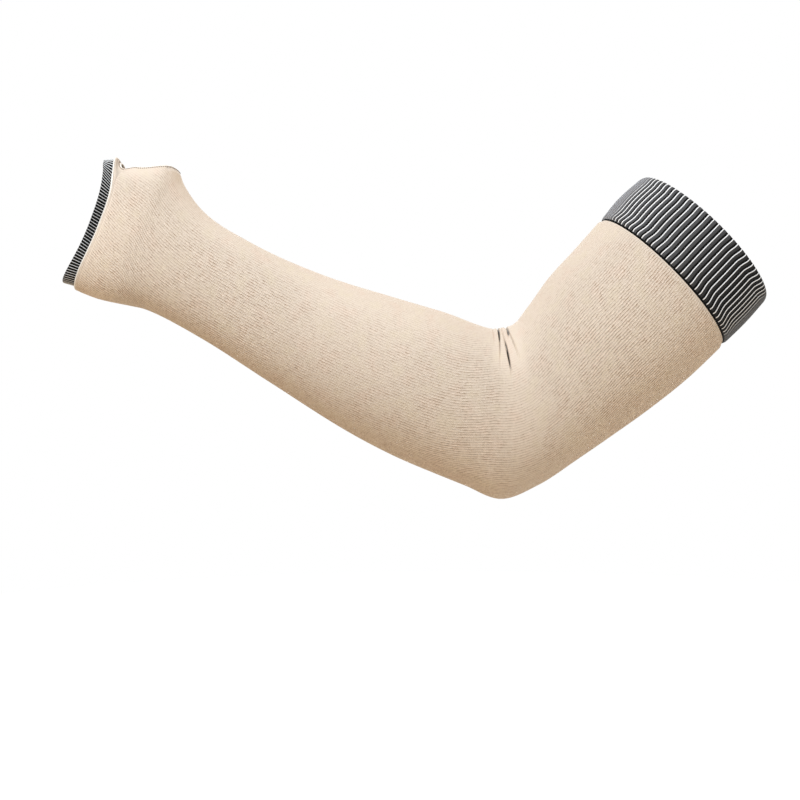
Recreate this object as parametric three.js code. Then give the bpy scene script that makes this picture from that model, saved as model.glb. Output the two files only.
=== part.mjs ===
// Sun protection arm sleeve: a knitted tube worn from the hand to the upper arm and bent at the
// elbow, with a thumb hole, a ribbed grip cuff at the upper arm and a narrow ribbed cuff at the
// fingers. Millimetres, +Z up. The arm lies in the XZ plane with its palm side towards -Y, and the
// origin is the middle of the upper-arm cuff, where the elastic grips.

import * as THREE from 'three';

// Driving dimensions of the cloth
const FABRIC_WALL = 1.4;
const CUFF_WALL = 1.8;
const FIT_GAP = 0.3;
const TUCK_GAP = 0.95;
const BEAD_RADIUS = 0.6;
const BEAD_SIDES = 6;

// Sections across the arm, from the finger edge to the upper-arm edge. x and z are the middle of the
// section, lean is the tilt of its upper end towards +X in degrees, height is its size in the plane
// of the arm and depth its size across that plane. fullness is the exponent of its superellipse: 2 is
// an ellipse and more is squarer. The thumb rows reach above the edge of the thumb hole.
const SECTIONS = [
  { name: 'finger edge', x: -387.5, z: 25.5, lean: 18.8, height: 89, depth: 44, fullness: 2.4 },
  { name: 'palm hem', x: -380, z: 24.5, lean: 16.7, height: 91, depth: 46, fullness: 2.4 },
  { name: 'thumb web', x: -375, z: 20, lean: 17.8, height: 86.5, depth: 47, fullness: 2.4 },
  { name: 'thumb', x: -362.5, z: 20.5, lean: 19.5, height: 96, depth: 50, fullness: 2.5 },
  { name: 'thumb base', x: -347.5, z: 17.5, lean: 22.5, height: 97.5, depth: 52, fullness: 2.5 },
  { name: 'heel of the hand', x: -341, z: 10.5, lean: 24, height: 86.5, depth: 53, fullness: 2.4 },
  { name: 'below the thumb', x: -329.5, z: 1, lean: 28, height: 74.5, depth: 54, fullness: 2.3 },
  { name: 'wrist', x: -296, z: -19, lean: 27.8, height: 70, depth: 56, fullness: 2.2 },
  { name: 'lower forearm', x: -251, z: -43.5, lean: 26, height: 77.5, depth: 64, fullness: 2.1 },
  { name: 'forearm', x: -199, z: -68, lean: 23, height: 92.5, depth: 80, fullness: 2.1 },
  { name: 'upper forearm', x: -171.5, z: -79.5, lean: 20, height: 98.5, depth: 87, fullness: 2.1 },
  { name: 'before the crook', x: -132, z: -95, lean: 8.5, height: 103.5, depth: 88, fullness: 2.1 },
  { name: 'crook', x: -117.5, z: -99, lean: -0.5, height: 111, depth: 86, fullness: 2.1 },
  { name: 'after the crook', x: -104, z: -94.5, lean: -10.5, height: 105, depth: 86, fullness: 2.1 },
  { name: 'elbow side', x: -90, z: -86, lean: -22, height: 98, depth: 88, fullness: 2.1 },
  { name: 'above the elbow', x: -74.5, z: -73, lean: -30, height: 100, depth: 92, fullness: 2 },
  { name: 'lower upper arm', x: -55.5, z: -55, lean: -35, height: 107, depth: 97, fullness: 2 },
  { name: 'upper arm', x: -33.5, z: -35, lean: -40, height: 111, depth: 100, fullness: 2 },
  { name: 'cuff seam', x: -13.5, z: -14.5, lean: -43.5, height: 113, depth: 101, fullness: 2 },
  { name: 'cuff middle', x: 0, z: 0, lean: -44.5, height: 115, depth: 102, fullness: 2 },
  { name: 'cuff edge', x: 14, z: 14, lean: -44.5, height: 112.5, depth: 100, fullness: 2 },
];

// Folds pressed into the crook, each a straight line in the side view from its top to its end.
const CROOK_FOLDS = [
  { topX: -122.8, topZ: -45, endX: -123.4, endZ: -57, depth: 0.9, width: 1.2 },
  { topX: -119.6, topZ: -45, endX: -120.8, endZ: -74, depth: 2.6, width: 1.2 },
  { topX: -117.4, topZ: -46, endX: -113, endZ: -79, depth: 2.4, width: 1.2 },
  { topX: -114, topZ: -44.5, endX: -114.3, endZ: -56, depth: 1.4, width: 1.1 },
  { topX: -114, topZ: -44.5, endX: -107, endZ: -70, depth: 2.2, width: 1.2 },
  { topX: -106, topZ: -39, endX: -102.5, endZ: -48, depth: 0.8, width: 1.2 },
];
const FOLD_FADE_START = 0.45;

// Hem at the fingers: how far the palm and the back of the hand pull it up the arm
const PALM_PULL = 9.4;
const THUMB_SIDE_PULL = 4.3;
const BACK_PULL = 1.5;
const PULL_REACH = 48;

// Thumb hole, a rounded opening at the thumb side: its start and end in millimetres up from the
// palm hem, half its width in degrees round the arm, the exponent of its superellipse, and how far
// beyond it the cloth is drawn in, as a share of half its size.
const THUMB_HOLE_START = 4;
const THUMB_HOLE_END = 38;
const THUMB_HOLE_TURN = 40;
const THUMB_HOLE_FULLNESS = 2;
const THUMB_HOLE_BLEND = 0.35;

// Rings of the body: each stretch ends at a length along the arm and is split into even steps. The
// stretches at the heel of the hand and at the crook run a little past their sections.
const FACETS_AROUND = 36;
const HOLE_FACETS = 4;
const HEM_STEPS = 2;
const HOLE_STEPS = 8;
const HEEL_STEPS = 3;
const FOREARM_STEPS = 9;
const CROOK_STEPS = 17;
const UPPER_ARM_STEPS = 5;
const HEEL_REACH = 4;
const CROOK_LEAD = 4;
const CROOK_TRAIL = 8;

// Cuffs: the same rib knit, pinched in at the seam and rolled over at the edge
const RIB_COUNT = 88;
const HAND_RIB_COUNT = 110;
const RIB_HEIGHT = 0.5;
const SEAM_PINCH = 1.2;
const SEAM_PINCH_LENGTH = 3;
const EDGE_ROLL = 1.3;
const EDGE_ROLL_LENGTH = 3.5;
const HAND_CUFF_TUCK = 4.5;

const CLOTH_BEIGE = 0xd9c5aa;
const RIB_CHARCOAL = 0x4d4d50;
const HEM_IVORY = 0xeee4d4;
const KNIT_ROUGHNESS = 0.9;
const RIB_ROUGHNESS = 0.85;

const FULL_TURN = 360;
const ARC_SAMPLES = 720;
const degrees = THREE.MathUtils.degToRad;
const clamp01 = (value) => THREE.MathUtils.clamp(value, 0, 1);
const signedPower = (value, power) => Math.sign(value) * Math.abs(value) ** power;

// Lengths along the middle of the arm, in millimetres from the palm hem
const SECTION_SIZES = ['x', 'z', 'lean', 'height', 'depth', 'fullness'];
const stations = sectionStations();
const sectionTable = new THREE.CubicInterpolant(
  stations,
  SECTIONS.flatMap((row) => SECTION_SIZES.map((size) => row[size])),
  SECTION_SIZES.length,
);
const FINGER_EDGE = stationOf('finger edge');
const BODY_START = stationOf('palm hem') + 2 * BEAD_RADIUS + FIT_GAP;
const HEEL_END = stationOf('below the thumb') + HEEL_REACH;
const CROOK_START = stationOf('before the crook') - CROOK_LEAD;
const CROOK_END = stationOf('elbow side') + CROOK_TRAIL;
const CUFF_SEAM = stationOf('cuff seam');
const CUFF_EDGE = stationOf('cuff edge');

function sectionStations() {
  const lengths = [0];
  for (let row = 1; row < SECTIONS.length; row += 1) {
    const [before, here] = SECTIONS.slice(row - 1, row + 1);
    lengths.push(lengths[row - 1] + Math.hypot(here.x - before.x, here.z - before.z));
  }
  const hem = lengths[SECTIONS.findIndex((row) => row.name === 'palm hem')];
  return lengths.map((length) => length - hem);
}

function stationOf(name) {
  return stations[SECTIONS.findIndex((row) => row.name === name)];
}

// Depth of the crook's folds at a point of the side view
function foldDepth(x, z) {
  let depth = 0;
  for (const fold of CROOK_FOLDS) {
    const line = new THREE.Vector2(fold.endX - fold.topX, fold.endZ - fold.topZ);
    const from = new THREE.Vector2(x - fold.topX, z - fold.topZ);
    const share = from.dot(line) / line.lengthSq();
    const aside = from.cross(line) / line.length() / fold.width;
    const fade = 1 - THREE.MathUtils.smoothstep(share, FOLD_FADE_START, 1);
    depth += fold.depth * fade * Math.exp(-aside * aside);
  }
  return depth;
}

// Point of the cloth at a length along the arm and an angle round it, inset below its outer face.
// The angle is 0 at the thumb side, 90 at the palm and 180 at the little-finger side.
function clothPoint(along, angle, inset) {
  const [x, z, lean, height, depth, fullness] = sectionTable.evaluate(along);
  const upward = (height / 2 - inset) * signedPower(Math.cos(degrees(angle)), 2 / fullness);
  const across = (depth / 2 - inset) * signedPower(Math.sin(degrees(angle)), 2 / fullness);
  const point = new THREE.Vector3(
    x + upward * Math.sin(degrees(lean)),
    -across,
    z + upward * Math.cos(degrees(lean)),
  );
  const middle = new THREE.Vector3(x, 0, z);
  const press = foldDepth(point.x, point.z) / point.distanceTo(middle);
  return point.lerp(middle, press);
}

// The hem's pull moves the cloth up the arm, most at the hem and at the palm.
function pulledAlong(along, angle) {
  const sideways = Math.sin(degrees(angle));
  const palmPull = PALM_PULL + THUMB_SIDE_PULL * Math.cos(degrees(angle));
  const pull = (sideways > 0 ? palmPull : BACK_PULL) * sideways * sideways;
  const fade = 1 - clamp01(along / PULL_REACH);
  return along + pull * fade * fade;
}

// The square block of facets at the thumb hole is drawn in to a rounded opening. Towards the palm hem
// the cloth round it is drawn in only as far as the body's edge, which stays smooth.
const HOLE_MIDDLE = (THUMB_HOLE_START + THUMB_HOLE_END) / 2;
const HOLE_HALF_LENGTH = (THUMB_HOLE_END - THUMB_HOLE_START) / 2;
const HEM_ROOM = (THUMB_HOLE_START - BODY_START) / HOLE_HALF_LENGTH;

function roundedHole(along, angle) {
  const lengthwise = (along - HOLE_MIDDLE) / HOLE_HALF_LENGTH;
  const sideways = angle / THUMB_HOLE_TURN;
  const square = Math.max(Math.abs(lengthwise), Math.abs(sideways));
  const power = THUMB_HOLE_FULLNESS;
  const round = (Math.abs(lengthwise) ** power + Math.abs(sideways) ** power) ** (1 / power);
  const room = lengthwise < 0 ? HEM_ROOM : THUMB_HOLE_BLEND;
  const past = (Math.abs(lengthwise) - 1) / room;
  const aside = (Math.abs(sideways) - 1) / THUMB_HOLE_BLEND;
  const share = 1 - THREE.MathUtils.smoothstep(Math.max(past, aside), 0, 1);
  const scale = round > 0 ? 1 + (square / round - 1) * share : 1;
  return {
    along: HOLE_MIDDLE + lengthwise * scale * HOLE_HALF_LENGTH,
    angle: sideways * scale * THUMB_HOLE_TURN,
  };
}

function bodyPoint(along, angle, inset) {
  const at = roundedHole(along, angle);
  const pinch = SEAM_PINCH * clamp01(1 - (CUFF_SEAM - along) / SEAM_PINCH_LENGTH);
  return clothPoint(pulledAlong(at.along, at.angle), at.angle, inset + pinch);
}

// A tube wall with an outer and an inner skin. point(ring, column, inner) places a corner, and
// isOpen(ring, column) leaves out a facet. Each edge with no facet beyond it is closed by a wall.
function tubeGeometry(rings, columns, point, isOpen = () => false) {
  const positions = [];
  for (const inner of [false, true]) {
    for (let ring = 0; ring < rings; ring += 1) {
      for (let column = 0; column < columns; column += 1) {
        positions.push(...point(ring, column, inner).toArray());
      }
    }
  }
  const corner = (ring, column, inner) =>
    (inner ? rings * columns : 0) + ring * columns + ((column + columns) % columns);
  const isFacet = (ring, column) =>
    ring >= 0 && ring < rings - 1 && !isOpen(ring, (column + columns) % columns);
  const triangles = [];
  const quad = (a, b, c, d) => triangles.push(a, b, c, a, c, d);
  const wall = (from, to) =>
    quad(corner(...from, false), corner(...from, true), corner(...to, true), corner(...to, false));
  for (let ring = 0; ring < rings - 1; ring += 1) {
    for (let column = 0; column < columns; column += 1) {
      if (!isFacet(ring, column)) continue;
      const low = [ring, column];
      const lowNext = [ring, column + 1];
      const high = [ring + 1, column];
      const highNext = [ring + 1, column + 1];
      quad(...[low, lowNext, highNext, high].map((at) => corner(...at, false)));
      quad(...[low, high, highNext, lowNext].map((at) => corner(...at, true)));
      if (!isFacet(ring - 1, column)) wall(low, lowNext);
      if (!isFacet(ring, column + 1)) wall(lowNext, highNext);
      if (!isFacet(ring + 1, column)) wall(highNext, high);
      if (!isFacet(ring, column - 1)) wall(high, low);
    }
  }
  return indexedGeometry(positions, triangles);
}

// A closed bead along the cloth's edge. seat(step) gives the edge's outer and inner corner and a
// point beyond the edge, and the bead lies FIT_GAP off the edge.
function beadGeometry(steps, seat) {
  const positions = [];
  const triangles = [];
  for (let step = 0; step < steps; step += 1) {
    const { outer, inner, beyond } = seat(step);
    const middle = outer.clone().lerp(inner, 0.5);
    const skinward = outer.clone().sub(inner).normalize();
    const outward = beyond.clone().sub(middle);
    outward.addScaledVector(skinward, -outward.dot(skinward)).normalize();
    middle.addScaledVector(outward, FIT_GAP + BEAD_RADIUS);
    for (let side = 0; side < BEAD_SIDES; side += 1) {
      const turn = degrees((FULL_TURN * side) / BEAD_SIDES);
      const corner = middle.clone();
      corner.addScaledVector(outward, BEAD_RADIUS * Math.cos(turn));
      corner.addScaledVector(skinward, BEAD_RADIUS * Math.sin(turn));
      positions.push(...corner.toArray());
      const here = step * BEAD_SIDES;
      const ahead = ((step + 1) % steps) * BEAD_SIDES;
      const beside = (side + 1) % BEAD_SIDES;
      triangles.push(here + side, ahead + side, ahead + beside);
      triangles.push(here + side, ahead + beside, here + beside);
    }
  }
  return indexedGeometry(positions, triangles);
}

function indexedGeometry(positions, triangles) {
  const geometry = new THREE.BufferGeometry();
  geometry.setAttribute('position', new THREE.Float32BufferAttribute(positions, 3));
  geometry.setIndex(triangles);
  geometry.computeVertexNormals();
  return geometry;
}

function evenSteps(start, end, steps) {
  return Array.from({ length: steps }, (_, step) => start + ((end - start) * (step + 1)) / steps);
}

const BODY_RINGS = [
  BODY_START,
  ...evenSteps(BODY_START, THUMB_HOLE_START, HEM_STEPS),
  ...evenSteps(THUMB_HOLE_START, THUMB_HOLE_END, HOLE_STEPS),
  ...evenSteps(THUMB_HOLE_END, HEEL_END, HEEL_STEPS),
  ...evenSteps(HEEL_END, CROOK_START, FOREARM_STEPS),
  ...evenSteps(CROOK_START, CROOK_END, CROOK_STEPS),
  ...evenSteps(CROOK_END, CUFF_SEAM - SEAM_PINCH_LENGTH, UPPER_ARM_STEPS),
  CUFF_SEAM,
];

// Facet columns run from -180 to 180 degrees, so the thumb hole lies round the middle column.
const MIDDLE_COLUMN = FACETS_AROUND / 2;
const columnAngle = (column) => ((column - MIDDLE_COLUMN) * FULL_TURN) / FACETS_AROUND;

function sleeveBody() {
  const point = (ring, column, inner) =>
    bodyPoint(BODY_RINGS[ring], columnAngle(column), inner ? FABRIC_WALL : 0);
  const isOpen = (ring, column) =>
    ring >= HEM_STEPS &&
    ring < HEM_STEPS + HOLE_STEPS &&
    column >= MIDDLE_COLUMN - HOLE_FACETS &&
    column < MIDDLE_COLUMN + HOLE_FACETS;
  return tubeGeometry(BODY_RINGS.length, FACETS_AROUND, point, isOpen);
}

// Angles in even steps round the arm
function evenAngles(count) {
  return Array.from({ length: count }, (_, step) => (FULL_TURN * step) / count);
}

// Angles at which the cloth is cut into even lengths, round the section at a length along the arm
function evenArcAngles(along, count) {
  const sampleAngle = (sample) => (FULL_TURN * sample) / ARC_SAMPLES;
  const lengths = [0];
  for (let sample = 1; sample <= ARC_SAMPLES; sample += 1) {
    const before = clothPoint(along, sampleAngle(sample - 1), 0);
    const here = clothPoint(along, sampleAngle(sample), 0);
    lengths.push(lengths[sample - 1] + here.distanceTo(before));
  }
  return Array.from({ length: count }, (_, step) => {
    const target = (lengths[ARC_SAMPLES] * step) / count;
    const after = lengths.findIndex((length) => length > target);
    const share = (target - lengths[after - 1]) / (lengths[after] - lengths[after - 1]);
    return sampleAngle(after - 1 + share);
  });
}

// A ribbed band with a ridge on every second column. Each row gives its length along the arm and how
// deep its outer face lies below the cloth's outer face, and each column has its angle.
function ribbedBand(rows, angles) {
  const point = (ring, column, inner) => {
    const angle = angles[column];
    const ridge = column % 2 === 0 ? 0 : RIB_HEIGHT;
    const inset = rows[ring].inset + (inner ? CUFF_WALL : ridge);
    return clothPoint(pulledAlong(rows[ring].along, angle), angle, inset);
  };
  return tubeGeometry(rows.length, angles.length, point);
}

function upperArmCuff() {
  const seam = CUFF_SEAM + FIT_GAP;
  const rows = [
    { along: seam, inset: SEAM_PINCH },
    { along: seam + SEAM_PINCH_LENGTH, inset: 0 },
    { along: CUFF_EDGE - EDGE_ROLL_LENGTH, inset: 0 },
    { along: CUFF_EDGE, inset: EDGE_ROLL },
  ];
  return ribbedBand(rows, evenAngles(RIB_COUNT * 2));
}

function handCuff() {
  const inset = FABRIC_WALL + TUCK_GAP;
  const rows = [
    { along: FINGER_EDGE, inset },
    { along: 0, inset },
    { along: HAND_CUFF_TUCK, inset },
  ];
  return ribbedBand(rows, evenArcAngles(FINGER_EDGE, HAND_RIB_COUNT * 2));
}

function palmHem() {
  return beadGeometry(FACETS_AROUND, (step) => {
    const angle = columnAngle(step);
    return {
      outer: bodyPoint(BODY_START, angle, 0),
      inner: bodyPoint(BODY_START, angle, FABRIC_WALL),
      beyond: bodyPoint(BODY_START - BEAD_RADIUS, angle, FABRIC_WALL / 2),
    };
  });
}

// The thumb hem follows the corners of the hole's facets, once round from its hem-side corner. It
// lies towards a ring of points a little inside the hole.
const HOLE_INSIDE_SHARE = 0.95;

function thumbHem() {
  const sides = [HOLE_STEPS, HOLE_FACETS * 2, HOLE_STEPS, HOLE_FACETS * 2];
  const holeCorner = (step) => {
    let rest = step;
    let side = 0;
    while (rest >= sides[side]) {
      rest -= sides[side];
      side += 1;
    }
    const share = (2 * rest) / sides[side] - 1;
    return [[share, -1], [1, share], [-share, 1], [-1, -share]][side];
  };
  const holePoint = ([lengthwise, sideways], reach, inset) =>
    bodyPoint(
      HOLE_MIDDLE + lengthwise * reach * HOLE_HALF_LENGTH,
      sideways * reach * THUMB_HOLE_TURN,
      inset,
    );
  return beadGeometry(2 * (HOLE_STEPS + HOLE_FACETS * 2), (step) => {
    const corner = holeCorner(step);
    return {
      outer: holePoint(corner, 1, 0),
      inner: holePoint(corner, 1, FABRIC_WALL),
      beyond: holePoint(corner, HOLE_INSIDE_SHARE, FABRIC_WALL / 2),
    };
  });
}

function clothMesh(name, geometry, color, roughness) {
  const material = new THREE.MeshStandardMaterial({ color, roughness, metalness: 0 });
  const mesh = new THREE.Mesh(geometry, material);
  mesh.name = name;
  return mesh;
}

const armSleeve = new THREE.Group();
armSleeve.add(
  clothMesh('sleeve_body', sleeveBody(), CLOTH_BEIGE, KNIT_ROUGHNESS),
  clothMesh('upper_arm_cuff', upperArmCuff(), RIB_CHARCOAL, RIB_ROUGHNESS),
  clothMesh('hand_cuff', handCuff(), RIB_CHARCOAL, RIB_ROUGHNESS),
  clothMesh('palm_hem', palmHem(), HEM_IVORY, KNIT_ROUGHNESS),
  clothMesh('thumb_hem', thumbHem(), HEM_IVORY, KNIT_ROUGHNESS),
);

export default armSleeve;
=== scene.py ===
"""Sun protection arm sleeve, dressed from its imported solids.

The knitted body, the two ribbed cuffs, the two hems and the stitches of the thumb hem are built over
the same sections as the solids, in millimetres along and round the arm, and placed in metres.
"""

import math
from collections import namedtuple

import bmesh
import bpy
import numpy as np
from bpy.props import FloatProperty, FloatVectorProperty, IntProperty, PointerProperty
from mathutils import Matrix, Vector


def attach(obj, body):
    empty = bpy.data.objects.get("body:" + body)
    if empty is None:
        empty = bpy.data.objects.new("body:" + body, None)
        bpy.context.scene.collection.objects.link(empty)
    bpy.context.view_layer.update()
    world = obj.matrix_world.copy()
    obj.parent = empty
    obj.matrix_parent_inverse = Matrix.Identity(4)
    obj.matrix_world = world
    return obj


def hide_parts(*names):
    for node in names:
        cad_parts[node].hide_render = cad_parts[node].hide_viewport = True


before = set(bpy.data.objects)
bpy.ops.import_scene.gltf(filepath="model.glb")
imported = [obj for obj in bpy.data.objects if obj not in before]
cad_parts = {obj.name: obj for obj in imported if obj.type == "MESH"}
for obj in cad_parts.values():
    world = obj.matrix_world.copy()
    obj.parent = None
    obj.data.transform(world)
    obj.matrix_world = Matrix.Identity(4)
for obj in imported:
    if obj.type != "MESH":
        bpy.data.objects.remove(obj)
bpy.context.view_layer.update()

bl_info = {
    "name": "Sun protection arm sleeve",
    "version": (1, 0, 0),
    "blender": (4, 5, 0),
    "location": "3D View > Sidebar > Arm sleeve",
    "description": "Builds a knitted arm sleeve with ribbed cuffs over its packed solids",
    "category": "Add Mesh",
}

MM = 0.001

# Map and masks that the corners of the pieces carry
PATTERN_MAP = "pattern"
PLAIN_MASK = "plain"
WALE_MASK = "wales"
# This mask is painted shade in the crook's folds and beside the palm hem
PAINTED_SHADE_MASK = "painted_shade"
STRETCH_MASK = "stretch"

# Sections across the arm, from the finger edge to the upper-arm edge, in millimetres. x and z are the
# middle of the section, lean is the tilt of its upper end towards +X in degrees, height is its size in
# the plane of the arm, depth its size across that plane and fullness the exponent of its superellipse.
Section = namedtuple("Section", "name x z lean height depth fullness")
SECTIONS = (
    Section("finger edge", -387.5, 25.5, 18.8, 89, 44, 2.4),
    Section("palm hem", -380, 24.5, 16.7, 91, 46, 2.4),
    Section("thumb web", -375, 20, 17.8, 86.5, 47, 2.4),
    Section("thumb", -362.5, 20.5, 19.5, 96, 50, 2.5),
    Section("thumb base", -347.5, 17.5, 22.5, 97.5, 52, 2.5),
    Section("heel of the hand", -341, 10.5, 24, 86.5, 53, 2.4),
    Section("below the thumb", -329.5, 1, 28, 74.5, 54, 2.3),
    Section("wrist", -296, -19, 27.8, 70, 56, 2.2),
    Section("lower forearm", -251, -43.5, 26, 77.5, 64, 2.1),
    Section("forearm", -199, -68, 23, 92.5, 80, 2.1),
    Section("upper forearm", -171.5, -79.5, 20, 98.5, 87, 2.1),
    Section("before the crook", -132, -95, 8.5, 103.5, 88, 2.1),
    Section("crook", -117.5, -99, -0.5, 111, 86, 2.1),
    Section("after the crook", -104, -94.5, -10.5, 105, 86, 2.1),
    Section("elbow side", -90, -86, -22, 98, 88, 2.1),
    Section("above the elbow", -74.5, -73, -30, 100, 92, 2),
    Section("lower upper arm", -55.5, -55, -35, 107, 97, 2),
    Section("upper arm", -33.5, -35, -40, 111, 100, 2),
    Section("cuff seam", -13.5, -14.5, -43.5, 113, 101, 2),
    Section("cuff middle", 0, 0, -44.5, 115, 102, 2),
    Section("cuff edge", 14, 14, -44.5, 112.5, 100, 2),
)

# Folds pressed into the crook, each a straight line in the side view from its top to its end.
# depth and width are its sizes, and rise is the share of its length over which it deepens.
Fold = namedtuple("Fold", "top_x top_z end_x end_z depth width rise")
CROOK_FOLDS = (
    Fold(-122.8, -45, -123.4, -57, 0.7, 0.5, 0),
    Fold(-119.6, -45, -120, -54, 3.2, 0.45, 0),
    Fold(-119.7, -46, -120.8, -76, 1.25, 0.45, 0),
    Fold(-117.6, -45, -116.4, -56, 0.85, 0.45, 0),
    Fold(-117.4, -48, -113, -80, 3.4, 0.5, 0.45),
    Fold(-114, -44.5, -114.3, -52, 3.0, 0.45, 0),
    Fold(-114, -45.5, -107, -71, 1.1, 0.45, 0),
    Fold(-106, -39, -102.5, -47, 0.3, 1.2, 0),
)
FOLD_FADE_START = 0.3

# Depths of the folds between which the cloth goes from its own colour to the fold's painted shade
CREASE_DEPTHS = (0.5, 2.2)

# Painted shade in a line beside the palm hem: its place along the arm, half its width, and how dark it is,
# as a share
HEM_SHADE_LINE = 2.5
HEM_SHADE_REACH = 0.8
HEM_GROOVE_SHADE = 0.32

# Hem at the fingers: how far the palm and the back of the hand pull it up the arm
PALM_PULL = 9.4
THUMB_SIDE_PULL = 4.3
BACK_PULL = 1.5
PULL_REACH = 48

# Thumb hole: start and end up from the palm hem, half its width in degrees round the arm, the exponent
# of its superellipse, and how far out the cloth round it is drawn in, as a share of its size.
HOLE_START = 4
HOLE_END = 38
HOLE_TURN = 40
HOLE_FULLNESS = 2
HOLE_BLEND = 0.35
HOLE_MIDDLE = (HOLE_START + HOLE_END) / 2
HOLE_HALF_LENGTH = (HOLE_END - HOLE_START) / 2

# Where the cloth starts beside the palm hem, and its room up to the hole, as a share of the hole's size
HEM_START = 1.45
HEM_ROOM = (HOLE_START - HEM_START) / HOLE_HALF_LENGTH

# Faces of the body: columns round the arm, and rows along it for each stretch
BODY_COLUMNS = 180
HEM_ROWS = 5
HOLE_ROWS = 24
FOREARM_ROWS = 110
CROOK_ROWS = 150
UPPER_ARM_ROWS = 36
SEAM_ROWS = 8
INNER_ROWS = 120

# How far the fine rows of the crook reach beyond its sections, towards the hand and the upper arm
CROOK_BEFORE = 4
CROOK_AFTER = 8

# Cuffs: pinched in at the seam, rolled over at the edge and tucked under the palm hem
SEAM_PINCH = 1.2
SEAM_PINCH_LENGTH = 3
EDGE_ROLL = 1.3
EDGE_ROLL_LENGTH = 3.5
HAND_CUFF_TUCK = 4.5

# Gaps from the body to the upper-arm cuff, to the hems and to the tucked part of the hand cuff
FIT_GAP = 0.3
HEM_GAP = 0.05
TUCK_GAP = 0.95

# Rows of faces of the cuffs, and how far those of the upper-arm cuff crowd towards its two ends
CUFF_ROWS = 30
HAND_CUFF_ROWS = 14
CUFF_INNER_ROWS = 6
CUFF_ROW_EASE = 0.12

# One rib of a cuff, as shares of its width and of its height: a white raised line, a shallow groove, a
# broad grey band and a deep groove. The plain sides of the upper-arm cuff have one height.
RIB_PROFILE = (
    (0.0, 0.3),
    (0.03, 0.75),
    (0.09, 1.0),
    (0.15, 0.75),
    (0.2, 0.3),
    (0.27, 0.6),
    (0.4, 0.72),
    (0.52, 0.72),
    (0.63, 0.58),
    (0.71, 0.3),
    (0.77, 0.0),
    (0.9, 0.0),
)
PLAIN_HEIGHT = 0.65

# Tables of lengths: samples round a section, degrees for a step round the body, and a step along it
ARC_SAMPLES = 720
ARC_STEP = 2
DRIFT_STEP = 0.5

# Bends of the upper-arm cuff's lines, in ribs, on its thumb half and its little-finger half, and the
# shares of the cuff's width over which they fade
SEAM_BEND = (0.9, 1.4)
SEAM_BEND_FADE = (0.01, 0.26)
EDGE_BEND = (0.45, 1.2)
EDGE_BEND_FADE = (0.78, 1)

# The upper-arm cuff is plain where the sine of the angle from its side is less than these
THUMB_SIDE_PLAIN = (0.22, 0.48)
FINGER_SIDE_PLAIN = (0.38, 0.56)

# Rib knit: the rib's width that its fine stitches go by, the stitch's size and the black strip of
# painted shade at the seam
CUFF_RIB_WIDTH = 4.0
HAND_RIB_WIDTH = 2.0
RIB_WALE = 0.52
RIB_COURSE = 0.6
SEAM_BLACK = 0.8
BLACK_FADE = 0.5

# Beads of the hems: steps along them, sides round them, and the share of the hole's size inside it
# towards which the thumb hem's bead lies
PALM_STEPS = 400
HOLE_STEPS = 240
BEAD_SIDES = 10
HOLE_INSIDE = 0.95

# Stitches of the thumb hem: their size, the share of the hole's size at which their row and a line
# beside it lie, how far above the cloth, and how far ahead their direction is taken
STITCH_LENGTH = 0.9
STITCH_RADIUS = 0.26
STITCH_ROW = 1.03
STITCH_BESIDE = 1.08
STITCH_LIFT = 0.02
LOOK_AHEAD = 0.1

# Corners closer than this are merged
MERGE_REACH = 0.01

# Where the wales are smoothed out: degrees from the thumb, over which the lit side loses painted groove
# shade, lengths from the palm hem, shares of the thumb hole's size, lengths before the cuff's seam, and
# the crook in the side view
THUMB_SMOOTH = (10, 80)
HEM_SMOOTH = (1.5, 7)
HOLE_SMOOTH = (1.1, 1.6)
SEAM_SMOOTH = (1.2, 0.8)
CROOK_MIDDLE = -115
CROOK_REACH = 15
CROOK_SMOOTH = (0.4, 1)
CROOK_LEVELS = (-84, -62)

# Shares of their strength that the wales lose there, lose at the hole and gain at the fingers' side, which
# is more painted groove shade on the shaded side
SMOOTHED_LOSS = 0.75
HOLE_LOSS = 0.8
FINGER_GAIN = 0.6

# Degrees from the thumb over which the wales grow stronger, with more painted groove shade towards the
# shaded side, and the hand's cloth is stretched
FINGER_STRONG = (90, 150)
PALM_STRETCHED = (48, 92)

# Studio: what the lights face, how wide they are and where they stand, in metres, their colours, and
# the floor's size and how far behind the sleeve its middle lies
LIGHT_TARGET = (-0.18, 0, -0.06)
LIGHT_WIDTH = 0.9
KEY_PLACE = (-0.55, -0.95, 1.05)
LOW_PLACE = (0.9, -0.6, -0.6)
BACK_PLACE = (-0.2, 1.4, 0.5)
DAY_COLOUR = (0.7, 0.843, 1)
LOW_COLOUR = (0.57, 0.81, 1)
FLOOR_RADIUS = 2.2
FLOOR_BEHIND = 0.6

# Turn of the body's wales, in degrees away from the arm's direction at the palm, at lengths along
# the arm: the thumb pulls them round at the hand, and they lag behind the bend at the elbow.
WALE_TURNS = (
    (0, 36),
    (15, 32),
    (28, 20),
    (45, 8),
    (72, 5),
    (100, 1),
    (240, 0),
    (258, -9),
    (268, -20),
    (286, -24),
    (292, -5),
    (298, 8),
    (305, 2),
    (315, -10),
    (335, -9),
    (360, -6),
    (445, -2),
)

# How far the cloth over the hand is stretched, and so lighter, at lengths along the arm
HAND_STRETCHES = (
    (0, 1.7),
    (14, 1.6),
    (28, 1),
    (46, 0.3),
    (92, 0),
)

# How strongly the body's wales show at lengths along the arm: less where the cloth is smoothed out
WALE_SHOWS = (
    (0, 1.05),
    (25, 1.1),
    (55, 1.2),
    (85, 1.2),
    (125, 1.25),
    (165, 0.8),
    (215, 0.85),
    (265, 1.15),
    (285, 1.05),
    (300, 0.65),
    (315, 0.75),
    (340, 1.25),
    (380, 1.5),
    (415, 1.35),
    (440, 1.2),
)


def run_lengths(points):
    """Lengths along a line of points, from its first one."""
    steps = np.linalg.norm(np.diff(points, axis=0), axis=1)
    return np.concatenate([[0], np.cumsum(steps)])


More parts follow.
